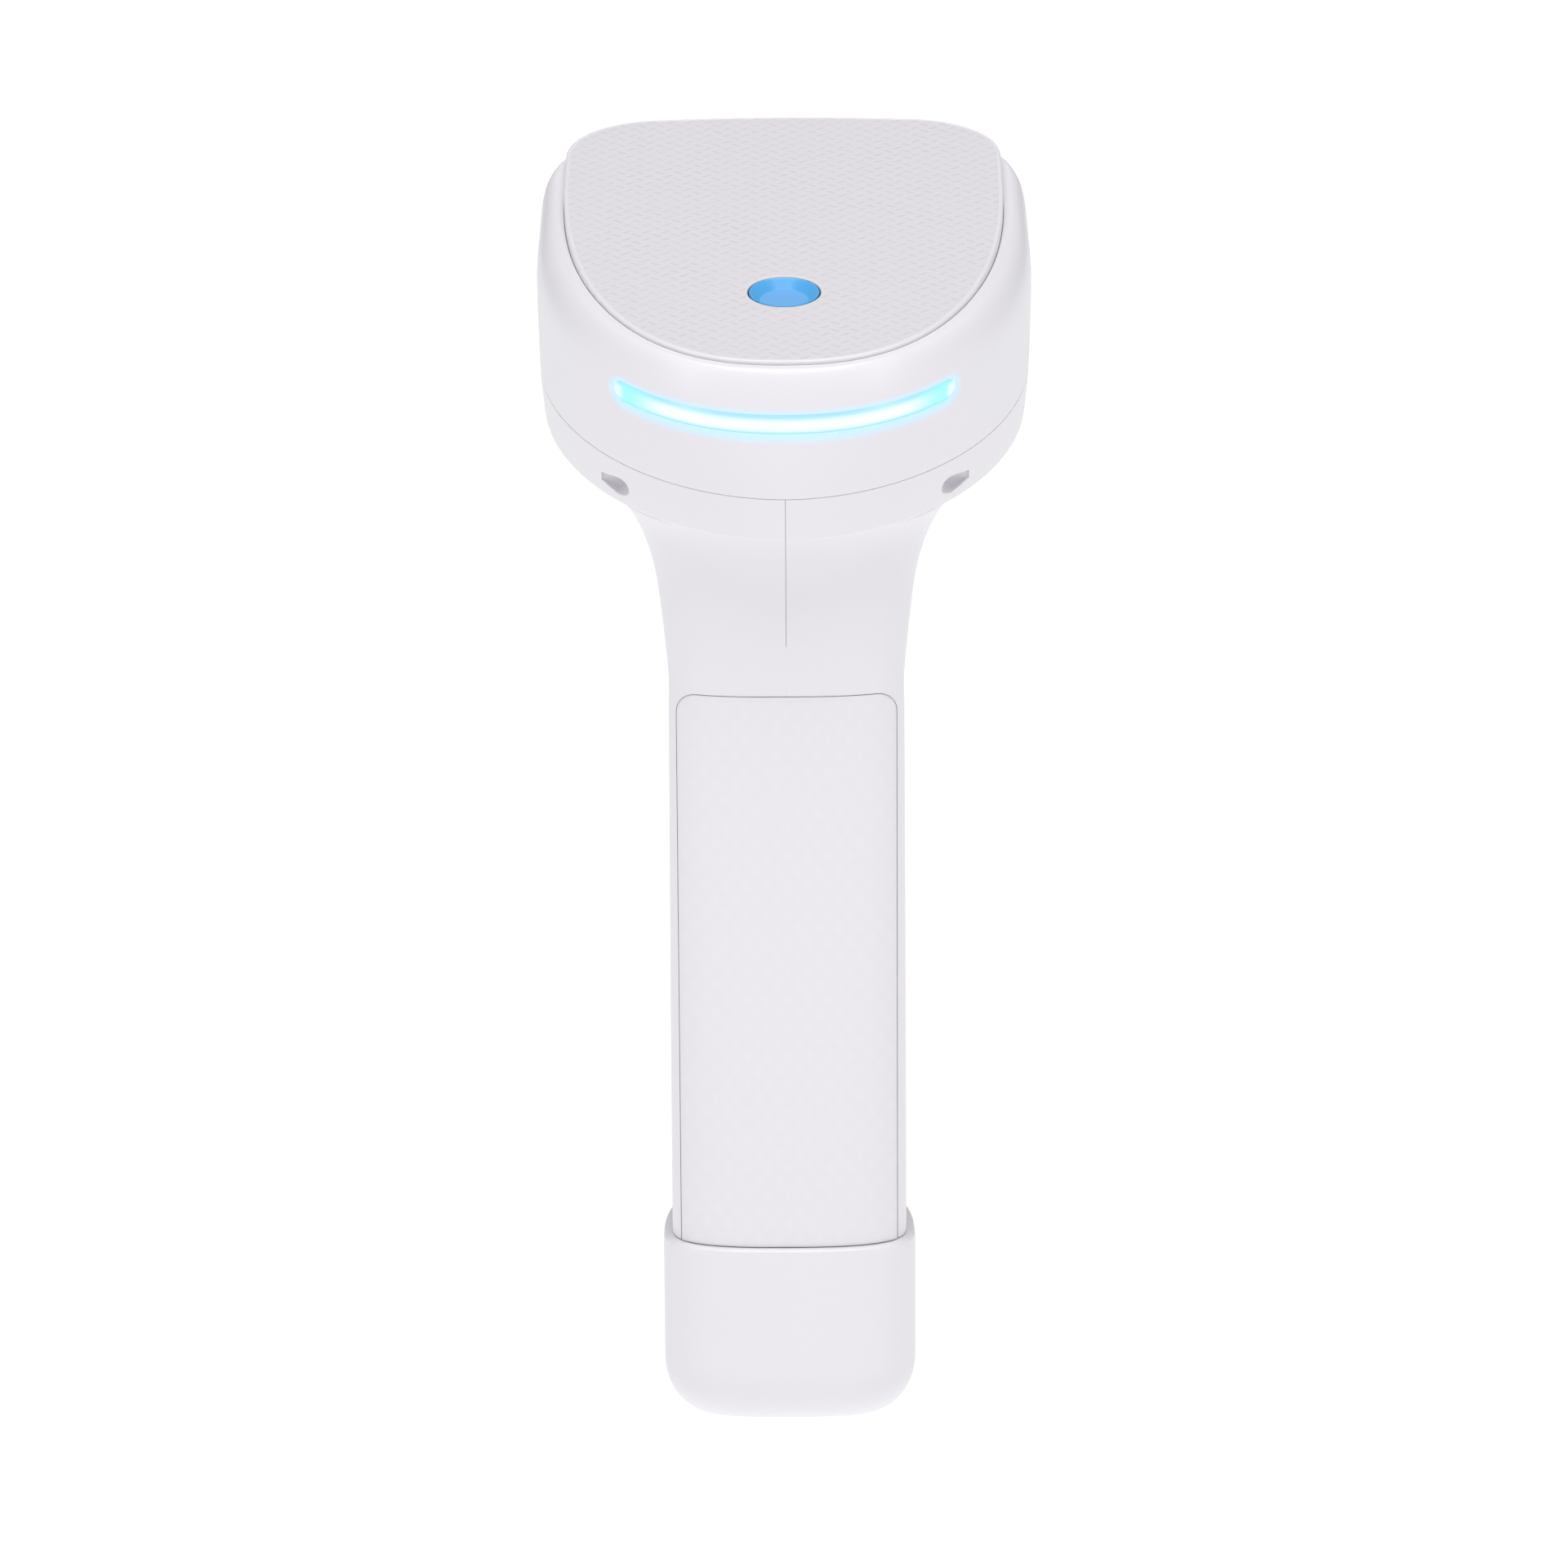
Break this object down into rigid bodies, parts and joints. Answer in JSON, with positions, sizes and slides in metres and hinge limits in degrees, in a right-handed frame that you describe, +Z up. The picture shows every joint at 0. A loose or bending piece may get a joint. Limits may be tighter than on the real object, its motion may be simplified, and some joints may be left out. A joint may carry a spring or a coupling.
{
  "type": "cordless handheld barcode scanner",
  "caption": "Handheld 2-D barcode scanner with a tilted head, top button, rear light bar, pistol grip with pull trigger and slide-out battery foot.",
  "frame": {"origin": "centre of the flat underside of the foot that the scanner stands on", "axes": "+Z up the handle, +Y the way it scans, +X the operator's right"},
  "size_m": [0.0716, 0.0916, 0.1823],
  "materials": {
    "shell_white": "white ABS-polycarbonate, fine satin",
    "plate_grey": "pale grey, moulded herringbone texture",
    "panel_grey": "off-white, fine diagonal grip texture",
    "button_blue": "sky blue, satin",
    "light_bar": "lit translucent diffuser, cyan white",
    "dark_plastic": "black, fine matte",
    "window_clear": "clear scratch-resistant window",
    "trigger_grey": "mid grey, satin",
    "seal_rubber": "black silicone, matte",
    "steel": "plain steel",
    "gold": "gold-plated contacts",
    "circuit_board": "green solder mask",
    "led_white": "white LED package",
    "lens_glass": "coated lens",
    "ceramic": "ceramic chip antenna",
    "cell_wrap": "teal shrink wrap over a steel can"
  },
  "bodies": {
    "housing": {"head_top_cover": "shell_white", "top_grip_plate": "plate_grey", "light_bar_lens": "light_bar", "left_shell": "shell_white", "right_shell": "shell_white", "grip_panel": "panel_grey", "window_bezel": "dark_plastic", "scan_window": "window_clear", "trigger_pin": "steel", "trigger_switch": "dark_plastic", "trigger_board": "circuit_board", "main_board": "circuit_board", "shield_can": "steel", "beeper": "dark_plastic", "vibration_motor": "steel", "radio_antenna": "ceramic", "button_switch": "dark_plastic", "light_bar_board": "circuit_board", "light_bar_led_1": "led_white", "light_bar_led_2": "led_white", "light_bar_led_3": "led_white", "light_bar_led_4": "led_white", "light_bar_led_5": "led_white", "imager_housing": "dark_plastic", "imager_lens": "lens_glass", "imager_board": "circuit_board", "aimer_led": "led_white", "illumination_led_left": "led_white", "illumination_led_right": "led_white", "pack_contact_block": "dark_plastic", "contact_pin_left": "gold", "contact_pin_right": "gold", "cover_screw_rear_left": "steel", "cover_screw_rear_right": "steel", "cover_screw_front_left": "steel", "cover_screw_front_right": "steel", "shell_screw_lower": "steel", "shell_screw_upper": "steel", "trigger_spring": "steel"},
    "trigger": {"trigger": "trigger_grey"},
    "trigger_plunger": {"trigger_switch_plunger": "dark_plastic"},
    "button": {"function_button": "button_blue"},
    "button_plunger": {"button_switch_plunger": "dark_plastic"},
    "battery_pack": {"pack_foot": "shell_white", "pack_seal": "seal_rubber", "battery_carrier": "dark_plastic", "battery_cell": "cell_wrap", "pack_pad_left": "gold", "pack_pad_right": "gold", "charge_pad_left": "gold", "charge_pad_right": "gold"}
  },
  "joints": [
    {"name": "trigger_pull", "type": "hinge", "parent": "housing", "child": "trigger", "pos_m": [0, 0.0184, 0.1361], "axis": [-1, 0, 0], "range_deg": [0, 6], "stiffness_Nm_per_rad": 0.35, "springref_deg": -6.88, "deforming": ["trigger_spring"]},
    {"name": "trigger_plunger_slide", "type": "slide", "parent": "housing", "child": "trigger_plunger", "axis": [0, -1, 0], "range_m": [0, 0.0013]},
    {"name": "button_press", "type": "slide", "parent": "housing", "child": "button", "axis": [0, 0.2756, -0.9613], "range_m": [0, 0.0006], "stiffness_N_per_m": 900, "springref_m": -0.0008},
    {"name": "button_plunger_slide", "type": "slide", "parent": "housing", "child": "button_plunger", "axis": [0, 0.2756, -0.9613], "range_m": [0, 0.0006]},
    {"name": "battery_pack_slide", "type": "slide", "parent": "housing", "child": "battery_pack", "axis": [0, 0, -1], "range_m": [0, 0.09]}
  ],
  "couplings": [
    {"joint": "trigger_plunger_slide", "follows": "trigger_pull", "m_per_rad": 0.012},
    {"joint": "button_plunger_slide", "follows": "button_press", "ratio": 1}
  ]
}
